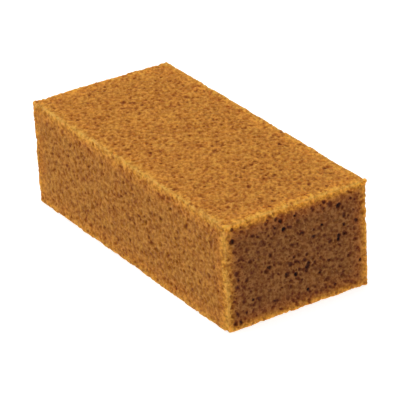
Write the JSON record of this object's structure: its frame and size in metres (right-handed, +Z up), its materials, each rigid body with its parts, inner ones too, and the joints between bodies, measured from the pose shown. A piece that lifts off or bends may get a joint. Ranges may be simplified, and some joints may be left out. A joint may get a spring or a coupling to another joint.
{
  "type": "tile washing sponge",
  "caption": "Rectangular block of open-cell foam, cut square, held in one hand to wash grout off a tiled floor or wall.",
  "frame": {"origin": "middle of the flat face that the block rests on", "axes": "+X along the length, +Y across the width, +Z up through the thickness"},
  "size_m": [0.22, 0.1, 0.07],
  "materials": {
    "foam": "matte"
  },
  "bodies": {
    "root": {"sponge_block": "foam"}
  },
  "joints": []
}
